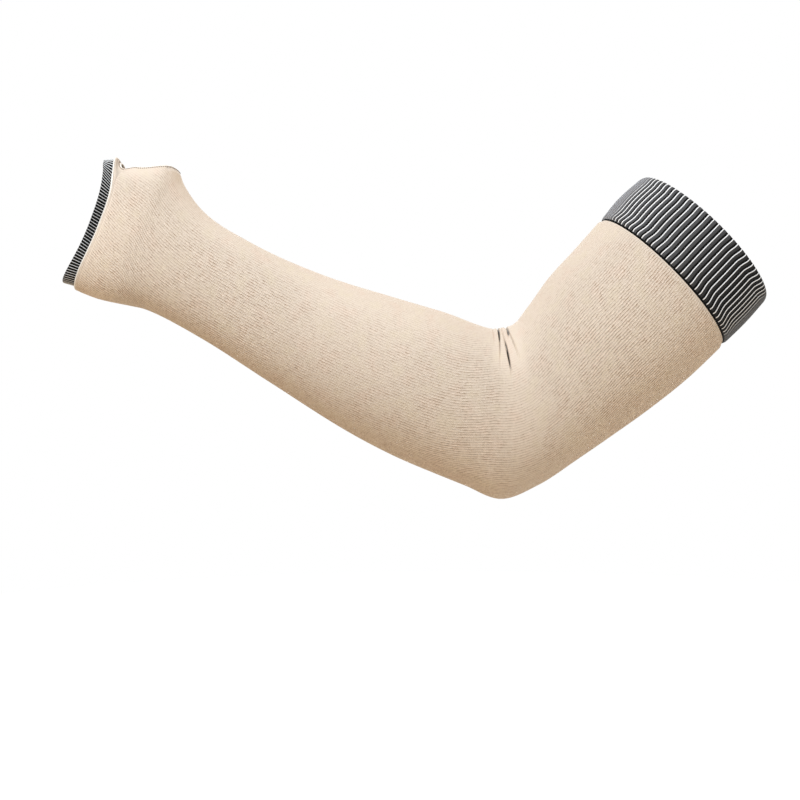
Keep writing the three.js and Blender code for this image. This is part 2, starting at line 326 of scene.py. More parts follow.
def section_stations():
    """Lengths of the sections along the middle of the arm, from the palm hem."""
    lengths = run_lengths([(row.x, row.z) for row in SECTIONS])
    hem = [row.name for row in SECTIONS].index("palm hem")
    return lengths - lengths[hem]


STATIONS = section_stations()
SECTION_SIZES = np.array([row[1:] for row in SECTIONS], float)
SECANTS = np.diff(SECTION_SIZES, axis=0) / np.diff(STATIONS)[:, None]
SLOPES = np.vstack([SECANTS[:1], (SECANTS[1:] + SECANTS[:-1]) / 2, SECANTS[-1:]])


def station_of(name):
    """Length along the arm of the section with this name."""
    return STATIONS[[row.name for row in SECTIONS].index(name)]


FINGER_EDGE = station_of("finger edge")
CROOK_START = station_of("before the crook") - CROOK_BEFORE
CROOK_END = station_of("elbow side") + CROOK_AFTER
CUFF_SEAM = station_of("cuff seam")
CUFF_EDGE = station_of("cuff edge")


def smooth_share(value, start, end):
    """Share of the way from start to end, eased at both ends."""
    share = np.clip((value - start) / (end - start), 0, 1)
    return share * share * (3 - 2 * share)


def signed_power(value, power):
    """Power of a value's size, with the value's sign."""
    return np.sign(value) * np.abs(value) ** power


def section_at(along):
    """Sizes of the section at each length along the arm, on a cubic curve through the sections."""
    after = np.clip(np.searchsorted(STATIONS, along), 1, len(STATIONS) - 1)
    before = after - 1
    step = (STATIONS[after] - STATIONS[before])[..., None]
    share = (along - STATIONS[before])[..., None] / step
    rest = 1 - share
    return (
        SECTION_SIZES[before] * (1 + 2 * share) * rest**2
        + SLOPES[before] * step * share * rest**2
        + SECTION_SIZES[after] * (3 - 2 * share) * share**2
        - SLOPES[after] * step * rest * share**2
    )


def fold_depth(x, z):
    """Depth of the crook's folds at points of the side view."""
    depth = np.zeros_like(x)
    for fold in CROOK_FOLDS:
        line_x = fold.end_x - fold.top_x
        line_z = fold.end_z - fold.top_z
        length = math.hypot(line_x, line_z)
        share = ((x - fold.top_x) * line_x + (z - fold.top_z) * line_z) / length**2
        aside = ((x - fold.top_x) * line_z - (z - fold.top_z) * line_x) / length / fold.width
        fade = 1 - smooth_share(share, FOLD_FADE_START, 1)
        if fold.rise:
            fade = fade * smooth_share(share, 0, fold.rise)
        depth += fold.depth * fade * np.exp(-(aside**2))
    return depth


def cloth_points(along, angle, inset):
    """Points of the cloth at lengths along the arm and angles round it, inset below its outer face.

    The angle is 0 at the thumb side, 90 at the palm and 180 at the little-finger side."""
    x, z, lean, height, depth, fullness = np.moveaxis(section_at(along), -1, 0)
    lean = np.radians(lean)
    turn = np.radians(angle)
    upward = (height / 2 - inset) * signed_power(np.cos(turn), 2 / fullness)
    across = (depth / 2 - inset) * signed_power(np.sin(turn), 2 / fullness)
    points = np.stack([x + upward * np.sin(lean), -across, z + upward * np.cos(lean)], -1)
    middle = np.stack([x, np.zeros_like(x), z], -1)
    inward = middle - points
    press = fold_depth(points[..., 0], points[..., 2]) / np.linalg.norm(inward, axis=-1)
    return points + inward * press[..., None]


def pulled_along(along, angle):
    """Lengths along the arm after the hem's pull, which is most at the hem and at the palm."""
    sideways = np.sin(np.radians(angle))
    palm_pull = PALM_PULL + THUMB_SIDE_PULL * np.cos(np.radians(angle))
    pull = np.where(sideways > 0, palm_pull, BACK_PULL) * sideways**2
    fade = 1 - np.clip(along / PULL_REACH, 0, 1)
    return along + pull * fade**2


def rounded_hole(along, angle):
    """Lengths and angles with the square block of faces at the thumb hole drawn in to a rounded one."""
    lengthwise = (along - HOLE_MIDDLE) / HOLE_HALF_LENGTH
    sideways = angle / HOLE_TURN
    square = np.maximum(np.abs(lengthwise), np.abs(sideways))
    powers = np.abs(lengthwise) ** HOLE_FULLNESS + np.abs(sideways) ** HOLE_FULLNESS
    rounded = powers ** (1 / HOLE_FULLNESS)
    room = np.where(lengthwise < 0, HEM_ROOM, HOLE_BLEND)
    beyond = np.maximum((np.abs(lengthwise) - 1) / room, (np.abs(sideways) - 1) / HOLE_BLEND)
    share = 1 - smooth_share(beyond, 0, 1)
    scale = 1 + (square / np.maximum(rounded, 1e-9) - 1) * share
    return HOLE_MIDDLE + lengthwise * scale * HOLE_HALF_LENGTH, sideways * scale * HOLE_TURN


def signed_turn(angle):
    """Angles brought to between -180 and 180 degrees, with the thumb at 0."""
    return (angle + 180) % 360 - 180


def body_points(along, angle, inset):
    """Points of the body's cloth, with its hem, thumb hole and seam."""
    hole_along, hole_angle = rounded_hole(along, signed_turn(angle))
    pinch = SEAM_PINCH * smooth_share(along, CUFF_SEAM - SEAM_PINCH_LENGTH, CUFF_SEAM)
    return cloth_points(pulled_along(hole_along, hole_angle), hole_angle, inset + pinch)


def read_table(table, along):
    """Values at lengths along the arm, from a table of lengths and values."""
    lengths, values = np.transpose(table)
    return np.interp(along, lengths, values)


def wale_drift(along):
    """Lengths round the arm by which the wales have drifted from the arm's direction."""
    steps = np.arange(0, CUFF_SEAM + 1, DRIFT_STEP)
    turn = read_table(WALE_TURNS, steps)
    drift = np.concatenate([[0], np.cumsum(np.tan(np.radians(turn[1:])) * np.diff(steps))])
    return np.interp(along, steps, drift)


def even_rows(start, end, count):
    """Lengths after start, in even steps up to end."""
    return np.linspace(start, end, count + 1)[1:]


def closed_band(points, pattern, masks=None):
    """A band of faces from tables of rows and columns, whose last row and column meet the first ones.

    The tables have each corner's point in millimetres, the pattern's coordinates there and its share of
    each named mask. Returns the bmesh with its corners' row and column numbers."""
    rows = len(points) - 1
    columns = len(points[0]) - 1
    band = bmesh.new()
    bmesh.ops.create_grid(band, x_segments=columns, y_segments=rows, size=0.5)
    corners = np.array([vert.co for vert in band.verts])
    column = np.rint((corners[:, 0] + 0.5) * columns).astype(int)
    row = np.rint((corners[:, 1] + 0.5) * rows).astype(int)
    for vert, point in zip(band.verts, points[row, column] * MM):
        vert.co = point
    band.verts.index_update()
    layer = band.loops.layers.uv.new(PATTERN_MAP)
    places = pattern[row, column]
    for face in band.faces:
        face.smooth = True
        for loop in face.loops:
            loop[layer].uv = places[loop.vert.index]
    for name, table in (masks or {}).items():
        mask = band.verts.layers.float.new(name)
        for vert, share in zip(band.verts, table[row, column]):
            vert[mask] = share
    return band, row, column


def close_up(band):
    """Merges the meeting edges of a band and turns its faces outwards."""
    bmesh.ops.remove_doubles(band, verts=band.verts[:], dist=MERGE_REACH * MM)
    bmesh.ops.recalc_face_normals(band, faces=band.faces[:])


def add_piece(shape, name, material, nodes=()):
    """Makes an object of a bmesh, which rides on the sleeve and stands for these nodes."""
    data = bpy.data.meshes.new(name)
    shape.to_mesh(data)
    shape.free()
    data.materials.append(material)
    piece = bpy.data.objects.new(name, data)
    bpy.context.scene.collection.objects.link(piece)
    if nodes:
        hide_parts(*nodes)
    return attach(piece, "root")


class NodeMaker:
    """Adds nodes to a material or a node group, with sockets fed by values or by other sockets."""

    def __init__(self, tree):
        self.tree = tree

    def add(self, kind, settings=None, **inputs):
        node = self.tree.nodes.new(kind)
        for name, value in (settings or {}).items():
            setattr(node, name, value)
        for name, value in inputs.items():
            self.feed(node.inputs[name.replace("_", " ")], value)
        return node

    def feed(self, socket, value):
        if isinstance(value, bpy.types.NodeSocket):
            self.tree.links.new(value, socket)
        else:
            socket.default_value = value

    def math(self, operation, *values):
        node = self.tree.nodes.new("ShaderNodeMath")
        node.operation = operation
        for socket, value in zip(node.inputs, values):
            self.feed(socket, value)
        return node.outputs[0]

    def times(self, first, *others):
        """The product of values."""
        for other in others:
            first = self.math("MULTIPLY", first, other)
        return first

    def times_plus(self, value, factor, more):
        """A value times a factor, plus some more."""
        return self.math("MULTIPLY_ADD", value, factor, more)

    def minus(self, first, *others):
        """A value less the others."""
        for other in others:
            first = self.math("SUBTRACT", first, other)
        return first

    def step(self, value, start, end, low=0.0, high=1.0):
        """A smooth step of a value from low at start to high at end."""
        node = self.add("ShaderNodeMapRange", {"interpolation_type": "SMOOTHSTEP"}, Value=value)
        for name, bound in (("From Min", start), ("From Max", end), ("To Min", low), ("To Max", high)):
            self.feed(node.inputs[name], bound)
        return node.outputs["Result"]

    def blend(self, share, first, second):
        """A colour that goes from the first to the second with a share."""
        node = self.tree.nodes.new("ShaderNodeMix")
        node.data_type = "RGBA"
        colour_inputs = [socket for socket in node.inputs if socket.type == "RGBA"]
        self.feed(node.inputs["Factor"], share)
        self.feed(colour_inputs[0], first)
        self.feed(colour_inputs[1], second)
        return [socket for socket in node.outputs if socket.type == "RGBA"][0]

    def scaled(self, colour, factor):
        """A colour times a factor."""
        node = self.add("ShaderNodeVectorMath", {"operation": "SCALE"}, Scale=factor)
        self.feed(node.inputs[0], colour)
        return node.outputs[0]

    def vector(self, x, y, z=0.0):
        return self.add("ShaderNodeCombineXYZ", X=x, Y=y, Z=z).outputs[0]

    def noise(self, vector, scale, detail=2.0, roughness=0.5):
        inputs = {"Vector": vector, "Scale": scale, "Detail": detail, "Roughness": roughness}
        return self.add("ShaderNodeTexNoise", **inputs).outputs["Fac"]

    def pattern(self):
        """The two coordinates of the piece's pattern map."""
        place = self.add("ShaderNodeUVMap", {"uv_map": PATTERN_MAP})
        parts = self.add("ShaderNodeSeparateXYZ", Vector=place.outputs[0])
        return parts.outputs["X"], parts.outputs["Y"]

    def mask(self, name):
        """A share that the piece's corners carry."""
        return self.add("ShaderNodeAttribute", {"attribute_name": name}).outputs["Fac"]

    def object_place(self):
        return self.add("ShaderNodeTexCoord").outputs["Object"]


def new_group(name, inputs, outputs):
    """A shader node group with these inputs and their defaults, and these outputs, all numbers."""
    group = bpy.data.node_groups.new(name, "ShaderNodeTree")
    kind = "NodeSocketFloat"
    for socket_name, default in inputs.items():
        socket = group.interface.new_socket(name=socket_name, in_out="INPUT", socket_type=kind)
        socket.default_value = default
    for socket_name in outputs:
        group.interface.new_socket(name=socket_name, in_out="OUTPUT", socket_type=kind)
    maker = NodeMaker(group)
    return maker, maker.add("NodeGroupInput").outputs, maker.add("NodeGroupOutput").inputs


def knit_stitch_group():
    """Jersey stitches: wales of two slanted legs, with a groove between the wales.

    Around and Along are coordinates on the cloth, in the same unit as Wale and Course, the width and
    the length of a stitch. Chance is a number from 0 to 1 that each stitch has of its own."""
    known = bpy.data.node_groups.get("Knit stitch")
    if known:
        return known
    inputs = {"Around": 0.0, "Along": 0.0, "Wale": 1.5, "Course": 1.1}
    maker, given, out = new_group("Knit stitch", inputs, ("Groove", "Crest", "Height", "Chance"))
    wale = maker.math("DIVIDE", given["Around"], given["Wale"])
    off_middle = maker.math("ABSOLUTE", maker.minus(maker.math("FRACT", wale), 0.5))
    aside = maker.times(off_middle, 2.0)
    course = maker.math("DIVIDE", given["Along"], given["Course"])
    leg_slant = 0.6
    slanted = maker.math("FRACT", maker.times_plus(aside, leg_slant, course))
    leg = maker.times(slanted, maker.minus(1.0, slanted), 4.0)
    across = maker.math("SQRT", maker.times(aside, maker.minus(1.0, aside)))
    maker.feed(out["Groove"], maker.step(aside, 0.5, 0.95))
    maker.feed(out["Crest"], maker.step(aside, 0.4, 0.1))
    maker.feed(out["Height"], maker.times(across, maker.times_plus(leg, 1.1, 0.9)))
    stitch_place = maker.vector(maker.math("FLOOR", wale), maker.math("FLOOR", course))
    chance = maker.add("ShaderNodeTexWhiteNoise", {"noise_dimensions": "2D"}, Vector=stitch_place)
    maker.feed(out["Chance"], chance.outputs["Value"])
    return maker.tree


def fibre_group():
    """Uneven yarn: a fine speckle of fibres and a broad mottle, both about one half.

    Around and Along are in millimetres on the cloth."""
    known = bpy.data.node_groups.get("Uneven yarn")
    if known:
        return known
    inputs = {"Around": 0.0, "Along": 0.0}
    maker, given, out = new_group("Uneven yarn", inputs, ("Speckle", "Mottle"))
    place = maker.vector(given["Around"], given["Along"])
    maker.feed(out["Speckle"], maker.noise(place, 1.7, 3.0, 0.7))
    maker.feed(out["Mottle"], maker.noise(place, 0.075, 3.0, 0.55))
    return maker.tree


def use_group(maker, group, **inputs):
    """Places a node group in a material and feeds its inputs."""
    return maker.add("ShaderNodeGroup", {"node_tree": group}, **inputs).outputs


def new_material(name, roughness, sheen, sheen_tint, specular=0.25):
    """A cloth material with its Principled shader, and a maker for its nodes."""
    material = bpy.data.materials.new(name)
    material.use_nodes = True
    surface = material.node_tree.nodes["Principled BSDF"].inputs
    surface["Roughness"].default_value = roughness
    surface["Specular IOR Level"].default_value = specular
    surface["Sheen Weight"].default_value = sheen
    surface["Sheen Roughness"].default_value = 0.45
    surface["Sheen Tint"].default_value = (*sheen_tint, 1)
    return material, NodeMaker(material.node_tree), surface


def bumped(maker, surface, height, distance):
    """Feeds a height in millimetres to the surface's normal."""
    bump = maker.add("ShaderNodeBump", Strength=1.0, Distance=distance * MM, Height=height)
    maker.feed(surface["Normal"], bump.outputs["Normal"])


def length_property(name, description, millimetres):
    """A length that a user can change."""
    return FloatProperty(name=name, description=description, default=millimetres * MM, unit="LENGTH")


def count_property(name, description, default):
    """A number of ribs that a user can change."""
    return IntProperty(name=name, description=description, default=default, min=8)


def colour_property(name, description, default):
    """A colour that a user can change."""
    return FloatVectorProperty(name=name, description=description, default=default, subtype="COLOR")


def power_property(name, description, default):
    """The power of a light that a user can change."""
    return FloatProperty(name=name, description=description, default=default, unit="POWER")


class SleeveSizes(bpy.types.PropertyGroup):
    """Sizes of the cloth that a maker would change"""

    fabric_wall: length_property("Cloth thickness", "Thickness of the knitted body", 1.4)
    cuff_wall: length_property("Cuff thickness", "Thickness of the rib knit under its ribs", 1.8)
    wale: length_property("Wale width", "Width of a column of stitches in the body", 1.66)
    course: length_property("Course length", "Length of a stitch along the arm", 1.15)
    rib_count: count_property("Ribs", "Ribs round the upper-arm cuff", 88)
    hand_rib_count: count_property("Hand ribs", "Ribs round the hand cuff", 110)
    rib_height: length_property("Rib height", "Height of the white lines above the grooves", 0.5)
    bead_radius: length_property("Hem radius", "Radius of the rolled edge at the palm and the thumb", 0.7)
    stitch_pitch: length_property("Stitch pitch", "Distance from one hem stitch to the next", 1.3)


class SleeveColours(bpy.types.PropertyGroup):
    """Colours of the yarns and of painted shade. The shaded ones are the cuffs' copies with painted
    shade for the little-finger side, beside the lit copies for the thumb side
    """

    knit: colour_property("Knit", "Beige yarn of the body", (0.72, 0.615, 0.51))
    # Between wales is painted shade in the grooves between the wales, and the colour of the dark specks
    wale_shade_and_speck: colour_property("Between wales", "Yarn between the body's wales", (0.35, 0.25, 0.17))
    # Fold is the colour of painted shade deep in the crook's folds and in the line beside the palm hem
    fold: colour_property("Fold", "Yarn deep in the crook's folds", (0.012, 0.007, 0.004))
    # Rib band, plain rib and rib line are the lit copies for the thumb side; their shaded copies are
    # painted shade for the little-finger side
    rib_band: colour_property("Rib band", "Grey yarn of the broad ribs", (0.104, 0.105, 0.11))
    # Rib groove is black painted shade in the deep grooves between the ribs, between the fine stitches and
    # at the seam
    rib_groove_shade: colour_property("Rib groove", "Black yarn between the ribs", (0.004, 0.004, 0.004))
    rib_plain: colour_property("Plain rib", "Grey of the upper-arm cuff's plain side", (0.34, 0.34, 0.355))
    rib_plain_shaded: colour_property(
        "Plain rib, shaded", "Grey of the cuff's other plain side", (0.138, 0.15, 0.168)
    )
    rib_band_shaded: colour_property(
        "Rib band, shaded", "Grey yarn of the shaded broad ribs", (0.016, 0.018, 0.021)
    )
    hand_rib_band: colour_property(
        "Hand rib band", "Black yarn of the hand cuff's broad ribs", (0.008, 0.0085, 0.009)
    )
    hand_rib_line: colour_property(
        "Hand rib line", "Pale yarn of the hand cuff's raised lines", (0.76, 0.76, 0.75)
    )
    # The hand cuff's shaded lines are painted shade for its little-finger side
    hand_rib_line_shaded: colour_property(
        "Hand rib line, shaded", "Yarn of the hand cuff's shaded lines", (0.68, 0.69, 0.7)
    )
    rib_line: colour_property("Rib line", "White yarn of the raised lines", (0.94, 0.93, 0.91))
    rib_line_shaded: colour_property("Rib line, shaded", "White yarn of the shaded lines", (0.89, 0.94, 1))
    hem: colour_property("Hem", "Ivory yarn of the rolled edges", (0.96, 0.91, 0.84))
    # The stitches' dark brown is partly their thread and partly painted shade of the gaps beside the thumb
    # hem
    stitch: colour_property("Stitches", "Brown thread of the thumb hem's stitches", (0.13, 0.08, 0.05))


class StudioSettings(bpy.types.PropertyGroup):
    """Camera, light and floor"""

    camera_place: FloatVectorProperty(
        name="Camera",
        description="Place of the camera, which looks along +Y",
        default=(-182.65 * MM, -750 * MM, -90.35 * MM),
        subtype="TRANSLATION",
    )
    frame_width: length_property("Frame width", "Width of the picture in the plane of the arm", 520)
    floor_level: length_property("Floor level", "Height of the floor below the upper-arm cuff", -620)
    key_power: power_property("Key light", "Power of the soft light above the hand", 23.7)
    low_power: power_property("Low light", "Power of the soft light below the upper arm", 4.2)
    back_power: power_property("Back light", "Power of the soft light behind the sleeve", 14)
    fill: colour_property("Fill", "Light that reaches the sleeve from all round", (0.668, 0.536, 0.395))


def knit_material(sizes, colours):
    """Beige jersey, with a map of millimetres round and along the arm, and masks of how strongly its
    wales show, how far it is stretched and how much painted shade lies in its folds and by the palm hem."""
    material, maker, surface = new_material("beige_knit", 0.92, 0.12, (1.0, 0.9, 0.8))
    straight, along = maker.pattern()

    def drawn_noise(around, round_scale, long_scale):
        """Noise with a scale round the arm and a smaller one along it."""
        place = maker.vector(maker.times(around, round_scale), maker.times(along, long_scale))
        return maker.noise(place, 1.0)

    sway = drawn_noise(straight, 0.35, 0.2)
    shake = maker.times_plus(drawn_noise(straight, 0.9, 0.55), 0.6, sway)
    around = maker.math("ADD", straight, shake)
    cloth = {"Around": around, "Along": along}
    size = {"Wale": sizes.wale / MM, "Course": sizes.course / MM}
    stitch = use_group(maker, knit_stitch_group(), **cloth, **size)
    yarn = use_group(maker, fibre_group(), **cloth)

    # Wales that come and go: streaks, broad patches and the mask, and a chance for each stitch
    streak = maker.step(drawn_noise(around, 0.6, 0.2), 0.32, 0.64, 0.3, 1.0)
    patch = maker.step(yarn["Mottle"], 0.36, 0.64, 0.55, 1.0)
    shown = maker.mask(WALE_MASK)
    strength = maker.times(streak, patch, shown)
    dark_chance = maker.times_plus(stitch["Chance"], 0.9, 0.45)
    light_chance = maker.times_plus(stitch["Chance"], -1.5, 1.2)
    groove = maker.times(stitch["Groove"], dark_chance, strength)
    crest_highlight = maker.times(stitch["Crest"], light_chance, strength)

    # Mottled yarn with dark specks, painted shade in the grooves and a painted highlight on the crests
    red, green, blue = colours.knit
    rosy = (red * 1.01, green * 0.98, blue * 0.975, 1)
    sandy = (red * 0.995, green, blue * 0.965, 1)
    painted_highlight_colour = (red * 1.16, green * 1.16, blue * 1.16, 1)
    groove_shade_and_speck_colour = (*colours.wale_shade_and_speck, 1)
    colour = maker.blend(maker.step(yarn["Mottle"], 0.5, 0.68), (red, green, blue, 1), rosy)
    colour = maker.blend(maker.step(yarn["Mottle"], 0.5, 0.32), colour, sandy)
    colour = maker.blend(maker.step(yarn["Speckle"], 0.55, 0.8, 0.0, 0.3), colour, groove_shade_and_speck_colour)
    colour = maker.blend(groove, colour, groove_shade_and_speck_colour)
    colour = maker.blend(crest_highlight, colour, painted_highlight_colour)

    # Lighter where the wales stand open and where the hand stretches them, and painted shade in the folds
    # and beside the palm hem
    open_share = maker.math("MAXIMUM", maker.minus(shown, 1.0), 0.0)
    stretch = maker.times_plus(maker.mask(STRETCH_MASK), 0.12, 1.0)
    colour = maker.scaled(colour, maker.times_plus(open_share, 0.26, stretch))
    colour = maker.blend(maker.mask(PAINTED_SHADE_MASK), colour, (*colours.fold, 1))
    maker.feed(surface["Base Color"], colour)
    height = maker.times_plus(yarn["Speckle"], 0.25, stitch["Height"])
    bumped(maker, surface, maker.times(height, shown), 0.26)
    return material


def rib_material(name, black_groove_shade, yarns, rib_count, rib_width, black_end):
    """Charcoal rib knit, with a map of ribs round the cuff and millimetres along it, and a mask of its
    plain sides. The yarns of the bands, the plain sides and the lines are pairs: a lit copy at the thumb
    side and a copy with painted shade at the little-finger side. The black is painted shade in the deep
    grooves and between the fine stitches. rib_width is in millimetres, and the rib is black up to
    black_end along the arm, a strip of painted shade along the seam."""
    material, maker, surface = new_material(name, 0.8, 0.04, (0.9, 0.9, 0.92), 0.08)
    ribs, along = maker.pattern()
    share = maker.math("FRACT", ribs)
    turn = maker.times_plus(ribs, 2 * math.pi / rib_count, -math.pi / 2)
    far_side = maker.times_plus(maker.math("COSINE", turn), -0.5, 0.5)
    cloth = {"Around": maker.times(ribs, rib_width), "Along": along}
    stitch = use_group(maker, knit_stitch_group(), **cloth, Wale=RIB_WALE, Course=RIB_COURSE)
    yarn = use_group(maker, fibre_group(), **cloth)
    fine = maker.times_plus(stitch["Height"], 0.5, maker.times(yarn["Speckle"], 0.5))
    fine = maker.step(fine, 0.2, 0.8)

    # Places of the white line, which is widest at the little-finger side, and of the grey band
    at_finger = maker.step(far_side, 0.5, 1.0, 0.0, 0.085)
    at_thumb = maker.step(far_side, 0.4, 0.15, 0.0, 0.022)
    line_end = maker.step(maker.minus(share, at_finger, at_thumb), 0.19, 0.15)
    line = maker.times(maker.step(share, 0.0, 0.03), line_end)
    band = maker.times(maker.step(share, 0.2, 0.27), maker.step(share, 0.72, 0.66))
    between = maker.step(share, 0.66, 0.82)

    # Colours that go from the lit copies at the thumb side to the copies with painted shade at the
    # little-finger side, with black painted shade between the ribs
    black = (*black_groove_shade, 1)
    turns = (maker.step(far_side, 0.35, 0.85), far_side, far_side)
    band_colour, plain_colour, line_colour = [
        maker.blend(turned, (*near, 1), (*far, 1)) for turned, (near, far) in zip(turns, yarns)
    ]
    band_colour = maker.blend(maker.times_plus(fine, -0.5, 0.5), band_colour, black)
    plain_colour = maker.blend(maker.times_plus(fine, -0.2, 0.2), plain_colour, black)
    plain_colour = maker.blend(maker.times(between, 0.5), plain_colour, black)
    colour = maker.blend(band, black, band_colour)
    colour = maker.blend(line, colour, line_colour)
    colour = maker.blend(maker.mask(PLAIN_MASK), colour, plain_colour)
    # Painted shade along the seam, where the cuff sits over the body
    seam_shade = maker.step(along, black_end + BLACK_FADE, black_end)
    maker.feed(surface["Base Color"], maker.blend(seam_shade, colour, black))
    bumped(maker, surface, maker.times(stitch["Height"], maker.minus(1.0, line)), 0.12)
    return material


def hem_material(sizes, colours):
    """Ivory yarn laid slantwise over the rolled edges, with a map of millimetres along and turns round."""
    material, maker, surface = new_material("ivory_hem", 0.9, 0.25, (1.0, 0.97, 0.93))
    along, turns = maker.pattern()
    yarn_width = sizes.stitch_pitch / MM * 0.5
    lay = maker.math("FRACT", maker.times_plus(along, 1.0 / yarn_width, turns))
    ridge = maker.times(lay, maker.minus(1.0, lay), 4.0)
    shade = tuple(part * 0.8 for part in colours.hem)
    colour = maker.blend(maker.step(ridge, 0.05, 0.5), (*shade, 1), (*colours.hem, 1))
    maker.feed(surface["Base Color"], colour)
    bumped(maker, surface, ridge, 0.15)
    return material


def thread_material(name, thread):
    """Twisted sewing thread."""
    material, maker, surface = new_material(name, 0.75, 0.2, (1.0, 0.97, 0.93))
    twist = maker.noise(maker.object_place(), 2500.0)
    dark = tuple(part * 0.7 for part in thread)
    colour = maker.blend(maker.step(twist, 0.35, 0.65), (*dark, 1), (*thread, 1))
    maker.feed(surface["Base Color"], colour)
    bumped(maker, surface, twist, 0.08)
    return material


def arc_from_palm(along, angle):
    """Length round the cloth from the palm's middle line to places on it, by a table of even steps."""
    rows = np.arange(0, CUFF_SEAM + 2)
    turns = np.linspace(-90, 270, 360 // ARC_STEP + 1)
    table_along, table_angle = np.meshgrid(rows, turns, indexing="ij")
    points = cloth_points(pulled_along(table_along, table_angle), table_angle, 0)
    steps = np.linalg.norm(np.diff(points, axis=1), axis=2)
    lengths = np.concatenate([np.zeros((len(rows), 1)), np.cumsum(steps, axis=1)], axis=1)
    lengths -= lengths[:, len(turns) // 2][:, None]
    row = np.clip(along.astype(int), 0, len(rows) - 2)
    row_share = along - row
    place = (angle + 90) / ARC_STEP
    column = np.clip(place.astype(int), 0, len(turns) - 2)
    column_share = place - column
    before = lengths[row, column] * (1 - column_share) + lengths[row, column + 1] * column_share
    after = lengths[row + 1, column] * (1 - column_share) + lengths[row + 1, column + 1] * column_share
    return before * (1 - row_share) + after * row_share


def wale_strength(points, along, angle):
    """How strongly the wales and their painted groove shade show: least at the lit thumb side, the palm
    hem, the seam and the crook, and most at the shaded little-finger side.
    """
    from_thumb = np.abs(signed_turn(angle))
    thumb_side = 1 - smooth_share(from_thumb, *THUMB_SMOOTH)
    finger_side = smooth_share(from_thumb, *FINGER_STRONG)
    hem = 1 - smooth_share(along, *HEM_SMOOTH)
    from_hole = np.hypot((along - HOLE_MIDDLE) / HOLE_HALF_LENGTH, from_thumb / HOLE_TURN)
    hole = 1 - smooth_share(from_hole, *HOLE_SMOOTH)
    seam = smooth_share(CUFF_SEAM - along, *SEAM_SMOOTH)
    aside = np.abs(points[..., 0] - CROOK_MIDDLE) / CROOK_REACH
    folds = (1 - smooth_share(aside, *CROOK_SMOOTH)) * smooth_share(points[..., 2], *CROOK_LEVELS)
    smoothed = np.maximum.reduce([thumb_side, hem, seam, folds])
    shown = read_table(WALE_SHOWS, along) * (1 + FINGER_GAIN * finger_side)
    return shown * (1 - SMOOTHED_LOSS * smoothed) * (1 - HOLE_LOSS * hole)


def painted_crease_shade(points, along):
    """Painted shade in the crook's folds and in the line beside the palm hem."""
    folds = smooth_share(fold_depth(points[..., 0], points[..., 2]), *CREASE_DEPTHS)
    groove = 1 - smooth_share(np.abs(along - HEM_SHADE_LINE), 0, HEM_SHADE_REACH)
    return np.maximum(folds, groove * HEM_GROOVE_SHADE)


def palm_stretch(along, angle):
    """How far the cloth is stretched, and so lighter, over the hand."""
    return read_table(HAND_STRETCHES, along) * smooth_share(np.abs(signed_turn(angle)), *PALM_STRETCHED)


class SLEEVE_OT_body(bpy.types.Operator):
    """Build the knitted body, with its thumb hole and the folds in the crook"""

    bl_idname = "sleeve.body"
    bl_label = "Knitted body"

    def execute(self, context):
        sizes = context.scene.sleeve_sizes
        row_along, row_inset = self.rows(sizes.fabric_wall / MM)
        angles = np.linspace(-90, 270, BODY_COLUMNS + 1)
        table_angle, table_along = np.meshgrid(angles, row_along)
        points = body_points(table_along, table_angle, row_inset[:, None])
        cut_along, cut_angle = rounded_hole(table_along, table_angle)
        around = arc_from_palm(cut_along, cut_angle) - wale_drift(cut_along)
        masks = {
            WALE_MASK: wale_strength(points, table_along, table_angle),
            STRETCH_MASK: palm_stretch(table_along, table_angle),
            PAINTED_SHADE_MASK: painted_crease_shade(points, table_along),
        }
        band, row, column = closed_band(points, np.stack([around, cut_along], -1), masks)
        self.open_thumb_hole(band, row_along[row], angles[column])
        close_up(band)
        material = knit_material(sizes, context.scene.sleeve_colours)
        body = add_piece(band, "knitted_body", material, ("sleeve_body",))
        return {"FINISHED"}

    def rows(self, wall):
        """Lengths along the arm and depths of the rows, up the outer skin and back down the inner one."""
        stretches = (
            (HOLE_START, HEM_ROWS),
            (HOLE_END, HOLE_ROWS),
            (CROOK_START, FOREARM_ROWS),
            (CROOK_END, CROOK_ROWS),
            (CUFF_SEAM - SEAM_PINCH_LENGTH, UPPER_ARM_ROWS),
            (CUFF_SEAM, SEAM_ROWS),
        )
        outer = np.array([HEM_START])
        for end, count in stretches:
            outer = np.append(outer, even_rows(outer[-1], end, count))
        hole_rows = outer[: HEM_ROWS + HOLE_ROWS + 1]
        inner = np.append(hole_rows, even_rows(HOLE_END, CUFF_SEAM, INNER_ROWS))[::-1]
        inset = np.concatenate([np.zeros(len(outer)), np.full(len(inner), wall), [0]])
        return np.concatenate([outer, inner, outer[:1]]), inset

    def open_thumb_hole(self, band, along, angle):
        """Takes out the faces of the thumb hole in both skins and joins the two edges."""
        edge = 1e-6

        def in_hole(vert):
            lengthwise = HOLE_START - edge < along[vert.index] < HOLE_END + edge
            return lengthwise and abs(angle[vert.index]) < HOLE_TURN + edge

        faces = [face for face in band.faces if all(in_hole(vert) for vert in face.verts)]
        bmesh.ops.delete(band, geom=faces, context="FACES")
        close_up(band)
        layer = band.loops.layers.uv[PATTERN_MAP]
        edges = [border for border in band.edges if border.is_boundary]
        made = bmesh.ops.bridge_loops(band, edges=edges)
        for face in made["faces"]:
            face.smooth = True
            for loop in face.loops:
                beside = [other for other in loop.vert.link_loops if other.face not in made["faces"]]
                loop[layer].uv = beside[0][layer].uv


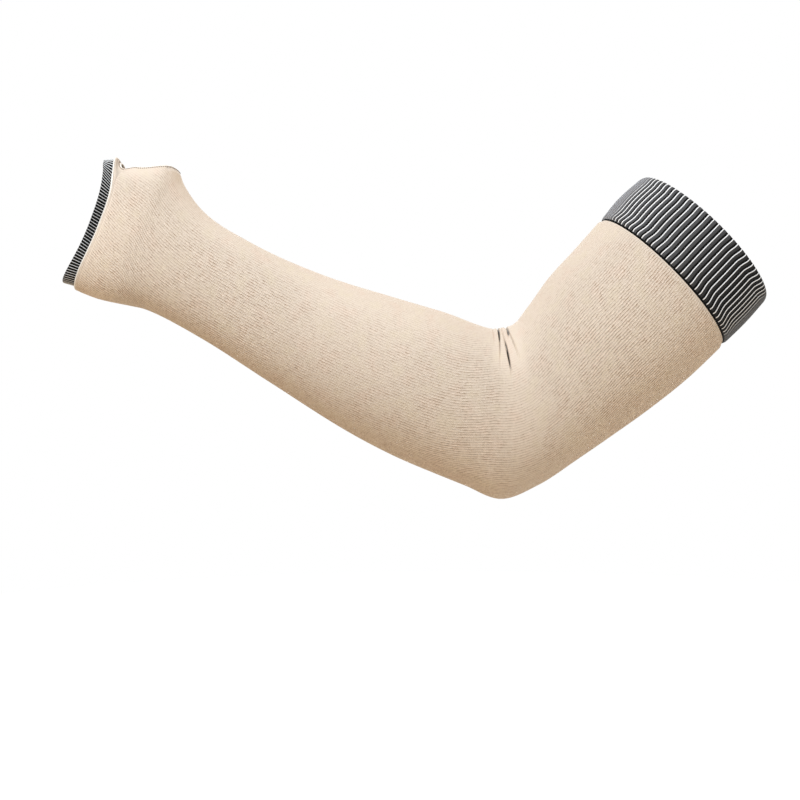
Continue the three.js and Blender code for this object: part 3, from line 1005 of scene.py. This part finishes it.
def rib_shift(share, angle):
    """Ribs by which the lines of the upper-arm cuff bend sideways near its seam and its edge."""
    across = np.sin(np.radians(angle - 90))
    half = np.where(across < 0, 0, 1)
    seam = np.choose(half, SEAM_BEND) * (1 - smooth_share(share, *SEAM_BEND_FADE))
    edge = np.choose(half, EDGE_BEND) * smooth_share(share, *EDGE_BEND_FADE)
    return across * (seam + edge)


def plain_sides(angle):
    """How plain the upper-arm cuff is at angles round the arm."""
    aside = np.abs(np.sin(np.radians(angle)))
    thumb_side = 1 - smooth_share(aside, *THUMB_SIDE_PLAIN)
    finger_side = 1 - smooth_share(aside, *FINGER_SIDE_PLAIN)
    return np.where(np.cos(np.radians(angle)) > 0, thumb_side, finger_side)


def even_arc_angles(ribs, count, along):
    """Angles of places counted in ribs, with ribs of even width round the section at a length."""
    angle = np.linspace(-90, 270, ARC_SAMPLES + 1)
    lengths = run_lengths(cloth_points(np.full(len(angle), float(along)), angle, 0))
    return np.interp(ribs / count * lengths[-1], lengths, angle)


def ribs_round(count):
    """Places of the profile's points round a cuff, counted in ribs, and their heights."""
    shares, heights = np.transpose(RIB_PROFILE)
    numbers = np.arange(count * len(shares) + 1)
    point = numbers % len(shares)
    return numbers // len(shares) + shares[point], heights[point]


def straight_points(along, angle, inset, stations):
    """Points of cloth that runs straight between stations along the arm."""
    after = np.clip(np.searchsorted(stations, along), 1, len(stations) - 1)
    first = stations[after - 1]
    last = stations[after]
    share = ((along - first) / (last - first))[..., None]
    start = cloth_points(pulled_along(first, angle), angle, inset)
    end = cloth_points(pulled_along(last, angle), angle, inset)
    return start * (1 - share) + end * share


def ribbed_band(sizes, ribs, angle, height, plain, row_along, row_inset, stations=None):
    """A cuff of ribs. The rows have lengths along the arm and depths below the cloth's outer face, and
    angle, height and plain are tables of the rows and columns. The cloth runs straight between the
    stations, where they are given."""
    last = len(row_along) - 1
    inner_along = np.linspace(row_along[-1], row_along[0], CUFF_INNER_ROWS)
    inner_inset = np.interp(inner_along, row_along, row_inset) + sizes.cuff_wall / MM
    inner_rows = np.rint(np.linspace(last, 0, CUFF_INNER_ROWS)).astype(int)
    rows = np.concatenate([np.arange(last + 1), inner_rows, [0]])
    along = np.concatenate([row_along, inner_along, row_along[:1]])
    inset = np.concatenate([row_inset, inner_inset, row_inset[:1]])
    ribbed = np.concatenate([np.ones(last + 1), np.zeros(CUFF_INNER_ROWS), [1]])
    relief = (1 - height[rows]) * sizes.rib_height / MM
    table_ribs, table_along = np.meshgrid(ribs, along)
    table_inset = inset[:, None] + ribbed[:, None] * relief
    if stations is None:
        points = cloth_points(pulled_along(table_along, angle[rows]), angle[rows], table_inset)
    else:
        points = straight_points(table_along, angle[rows], table_inset, stations)
    pattern = np.stack([table_ribs, table_along], -1)
    band, _, _ = closed_band(points, pattern, {PLAIN_MASK: plain[rows]})
    close_up(band)
    return band


class SLEEVE_OT_upper_arm_cuff(bpy.types.Operator):
    """Build the ribbed cuff that grips the upper arm"""

    bl_idname = "sleeve.upper_arm_cuff"
    bl_label = "Upper-arm cuff"

    def execute(self, context):
        sizes = context.scene.sleeve_sizes
        count = sizes.rib_count
        seam = CUFF_SEAM + FIT_GAP
        share = np.linspace(0, 1, CUFF_ROWS)
        eased = share - CUFF_ROW_EASE * np.sin(2 * np.pi * share)
        along = seam + (CUFF_EDGE - seam) * eased
        pinch = SEAM_PINCH * (1 - smooth_share(along, seam, seam + SEAM_PINCH_LENGTH))
        from_edge = np.clip((along - CUFF_EDGE + EDGE_ROLL_LENGTH) / EDGE_ROLL_LENGTH, 0, 1)
        roll = EDGE_ROLL * (1 - np.sqrt(1 - from_edge**2))
        ribs, rib_height = ribs_round(count)
        straight = -90 + 360 * ribs / count
        angle = straight + rib_shift(eased[:, None], straight) * 360 / count
        plain = plain_sides(angle)
        height = rib_height + (PLAIN_HEIGHT - rib_height) * plain
        band = ribbed_band(sizes, ribs, angle, height, plain, along, pinch + roll)
        colours = context.scene.sleeve_colours
        yarns = (
            (colours.rib_band, colours.rib_band_shaded),
            (colours.rib_plain, colours.rib_plain_shaded),
            (colours.rib_line, colours.rib_line_shaded),
        )
        knit = (count, CUFF_RIB_WIDTH, seam + SEAM_BLACK)
        material = rib_material("charcoal_rib", colours.rib_groove_shade, yarns, *knit)
        cuff = add_piece(band, "grip_cuff", material, ("upper_arm_cuff",))
        return {"FINISHED"}


class SLEEVE_OT_hand_cuff(bpy.types.Operator):
    """Build the narrow ribbed cuff that comes out from under the palm hem"""

    bl_idname = "sleeve.hand_cuff"
    bl_label = "Hand cuff"

    def execute(self, context):
        sizes = context.scene.sleeve_sizes
        count = sizes.hand_rib_count
        along = np.linspace(FINGER_EDGE, HAND_CUFF_TUCK, HAND_CUFF_ROWS)
        inset = np.full(len(along), sizes.fabric_wall / MM + TUCK_GAP)
        ribs, rib_height = ribs_round(count)
        angle = np.tile(even_arc_angles(ribs, count, FINGER_EDGE), (len(along), 1))
        height = np.tile(rib_height, (len(along), 1))
        stations = np.array([FINGER_EDGE, 0, HAND_CUFF_TUCK])
        band = ribbed_band(sizes, ribs, angle, height, np.zeros_like(angle), along, inset, stations)
        colours = context.scene.sleeve_colours
        yarns = (
            (colours.hand_rib_band, colours.hand_rib_band),
            (colours.hand_rib_band, colours.hand_rib_band),
            (colours.hand_rib_line, colours.hand_rib_line_shaded),
        )
        knit = (count, HAND_RIB_WIDTH, FINGER_EDGE - BLACK_FADE)
        material = rib_material("charcoal_hand_rib", colours.rib_groove_shade, yarns, *knit)
        cuff = add_piece(band, "finger_cuff", material, ("hand_cuff",))
        return {"FINISHED"}


def unit(vectors):
    """Vectors of length one."""
    return vectors / np.linalg.norm(vectors, axis=-1, keepdims=True)


def edge_bead(outer, inner, beyond, radius):
    """A closed bead of yarn off the edge between two skins of cloth, towards the points beyond it."""
    skinward = unit(outer - inner)
    middle = (outer + inner) / 2
    outward = beyond - middle
    outward = unit(outward - np.sum(outward * skinward, axis=-1, keepdims=True) * skinward)
    middle = middle + outward * (HEM_GAP + radius)
    at = np.arange(len(middle) + 1) % len(middle)
    share = np.arange(BEAD_SIDES + 1) / BEAD_SIDES
    turn = 2 * np.pi * share[:, None, None]
    points = middle[at] + radius * np.cos(turn) * outward[at] + radius * np.sin(turn) * skinward[at]
    pattern = np.stack(np.meshgrid(run_lengths(middle[at]), share), -1)
    band, _, _ = closed_band(points, pattern)
    close_up(band)
    return band


def palm_line(along, inset):
    """Points round the hem at a length along the arm."""
    angle = -180 + 360 * np.arange(PALM_STEPS) / PALM_STEPS
    return body_points(np.full(PALM_STEPS, float(along)), angle, inset)


def hole_line(reach, inset):
    """Points round the thumb hole, at a share of its size."""
    turn = np.linspace(0, 4, HOLE_STEPS, endpoint=False)
    side = turn.astype(int)
    share = 2 * (turn - side) - 1
    full = np.ones(HOLE_STEPS)
    lengthwise = np.choose(side, [share, full, -share, -full]) * reach
    sideways = np.choose(side, [-full, share, full, -share]) * reach
    return body_points(HOLE_MIDDLE + lengthwise * HOLE_HALF_LENGTH, sideways * HOLE_TURN, inset)


class SLEEVE_OT_hems(bpy.types.Operator):
    """Build the rolled edges at the palm and round the thumb hole"""

    bl_idname = "sleeve.hems"
    bl_label = "Hems"

    def execute(self, context):
        sizes = context.scene.sleeve_sizes
        radius = sizes.bead_radius / MM
        wall = sizes.fabric_wall / MM
        material = hem_material(sizes, context.scene.sleeve_colours)
        edges = (
            ("palm_edge", "palm_hem", palm_line, HEM_START, HEM_START - radius),
            ("thumb_edge", "thumb_hem", hole_line, 1, HOLE_INSIDE),
        )
        for name, node, line, edge, beyond in edges:
            band = edge_bead(line(edge, 0), line(edge, wall), line(beyond, wall / 2), radius)
            add_piece(band, name, material, (node,))
        return {"FINISHED"}


class SLEEVE_OT_stitches(bpy.types.Operator):
    """Sew the row of stitches beside the thumb hem"""

    bl_idname = "sleeve.stitches"
    bl_label = "Hem stitches"

    def execute(self, context):
        pitch = context.scene.sleeve_sizes.stitch_pitch / MM
        row = hole_line(STITCH_ROW, -STITCH_LIFT)
        beside = hole_line(STITCH_BESIDE, -STITCH_LIFT)
        count = int(run_lengths(np.vstack([row, row[:1]]))[-1] / pitch)
        shape = bmesh.new()
        for place, ahead, other in zip(*self.spaced(row, count), self.spaced(beside, count)[0]):
            across = unit(other - place - ahead * np.dot(other - place, ahead))
            outward = np.cross(ahead, across)
            sides = [across * STITCH_RADIUS, outward * STITCH_RADIUS, ahead * STITCH_LENGTH / 2]
            turn = Matrix(np.column_stack(sides).tolist())
            matrix = Matrix.Translation(Vector(place * MM)) @ (turn * MM).to_4x4()
            bmesh.ops.create_uvsphere(shape, u_segments=6, v_segments=4, radius=1, matrix=matrix)
        for face in shape.faces:
            face.smooth = True
        bmesh.ops.recalc_face_normals(shape, faces=shape.faces[:])
        # Dark brown thread, partly painted shade of the gaps beside the thumb hem
        thread = thread_material("brown_thread_and_gap_shade", context.scene.sleeve_colours.stitch)
        add_piece(shape, "thumb_stitches", thread)
        return {"FINISHED"}

    def spaced(self, points, count):
        """Evenly spaced points along a closed line, with the directions along it."""
        closed = np.vstack([points, points[:1]])
        lengths = run_lengths(closed)
        at = lengths[-1] * np.arange(count) / count
        places, ahead = [
            np.stack([np.interp(here, lengths, closed[:, axis]) for axis in range(3)], -1)
            for here in (at, at + LOOK_AHEAD)
        ]
        return places, unit(ahead - places)


def area_light(name, place, power, colour):
    """A square soft light that faces the sleeve."""
    data = bpy.data.lights.new(name, "AREA")
    data.size = LIGHT_WIDTH
    data.energy = power
    data.color = colour
    light = bpy.data.objects.new(name, data)
    light.location = place
    light.rotation_euler = (Vector(LIGHT_TARGET) - Vector(place)).to_track_quat("-Z", "Y").to_euler()
    bpy.context.scene.collection.objects.link(light)


class SLEEVE_OT_studio(bpy.types.Operator):
    """Set up the pale floor, the soft light and the camera"""

    bl_idname = "sleeve.studio"
    bl_label = "Studio"

    def execute(self, context):
        studio = context.scene.sleeve_studio
        self.add_camera(context, studio)
        self.add_floor(context, studio)
        self.add_light(context, studio)
        context.scene.view_settings.view_transform = "Standard"
        return {"FINISHED"}

    def add_camera(self, context, studio):
        data = bpy.data.cameras.new("camera")
        data.sensor_width = 36
        data.lens = data.sensor_width * -studio.camera_place[1] / studio.frame_width
        camera = bpy.data.objects.new("camera", data)
        camera.location = studio.camera_place
        camera.rotation_euler = (math.radians(90), 0, 0)
        context.scene.collection.objects.link(camera)
        context.scene.camera = camera

    def add_floor(self, context, studio):
        shape = bmesh.new()
        bmesh.ops.create_circle(shape, cap_ends=True, segments=128, radius=FLOOR_RADIUS)
        bmesh.ops.translate(shape, verts=shape.verts[:], vec=(0, FLOOR_BEHIND, studio.floor_level))
        data = bpy.data.meshes.new("floor")
        shape.to_mesh(data)
        shape.free()
        floor = bpy.data.objects.new("floor", data)
        floor.visible_diffuse = False
        material = bpy.data.materials.new("pale_floor")
        material.use_nodes = True
        surface = material.node_tree.nodes["Principled BSDF"].inputs
        surface["Base Color"].default_value = (0.9, 0.9, 0.9, 1)
        surface["Roughness"].default_value = 0.9
        surface["Emission Color"].default_value = (1, 1, 1, 1)
        surface["Emission Strength"].default_value = 0.6
        data.materials.append(material)
        context.scene.collection.objects.link(floor)

    def add_light(self, context, studio):
        area_light("key_light", KEY_PLACE, studio.key_power, DAY_COLOUR)
        area_light("low_light", LOW_PLACE, studio.low_power, LOW_COLOUR)
        area_light("back_light", BACK_PLACE, studio.back_power, DAY_COLOUR)
        world = bpy.data.worlds.new("studio")
        world.use_nodes = True
        tree = world.node_tree
        maker = NodeMaker(tree)
        seen = maker.add("ShaderNodeLightPath").outputs["Is Camera Ray"]
        colour = maker.blend(seen, (*studio.fill, 1), (1, 1, 1, 1))
        maker.feed(tree.nodes["Background"].inputs["Color"], colour)
        context.scene.world = world


class SLEEVE_PT_panel(bpy.types.Panel):
    """Lists the sizes, colours and pieces of the arm sleeve"""

    bl_idname = "SLEEVE_PT_panel"
    bl_label = "Arm sleeve"
    bl_space_type = "VIEW_3D"
    bl_region_type = "UI"
    bl_category = "Arm sleeve"

    def draw(self, context):
        scene = context.scene
        for group in (scene.sleeve_sizes, scene.sleeve_colours, scene.sleeve_studio):
            box = self.layout.box()
            for name in group.__annotations__:
                box.prop(group, name)
        for operator in OPERATORS:
            self.layout.operator(operator.bl_idname)


OPERATORS = (
    SLEEVE_OT_studio,
    SLEEVE_OT_body,
    SLEEVE_OT_upper_arm_cuff,
    SLEEVE_OT_hand_cuff,
    SLEEVE_OT_hems,
    SLEEVE_OT_stitches,
)
CLASSES = (SleeveSizes, SleeveColours, StudioSettings, *OPERATORS, SLEEVE_PT_panel)


def register():
    for cls in CLASSES:
        bpy.utils.register_class(cls)
    bpy.types.Scene.sleeve_sizes = PointerProperty(type=SleeveSizes)
    bpy.types.Scene.sleeve_colours = PointerProperty(type=SleeveColours)
    bpy.types.Scene.sleeve_studio = PointerProperty(type=StudioSettings)


def unregister():
    del bpy.types.Scene.sleeve_studio
    del bpy.types.Scene.sleeve_colours
    del bpy.types.Scene.sleeve_sizes
    for cls in reversed(CLASSES):
        bpy.utils.unregister_class(cls)


def main():
    register()
    bpy.ops.sleeve.studio()
    bpy.ops.sleeve.body()
    bpy.ops.sleeve.upper_arm_cuff()
    bpy.ops.sleeve.hand_cuff()
    bpy.ops.sleeve.hems()
    bpy.ops.sleeve.stitches()


if __name__ == "__main__":
    main()
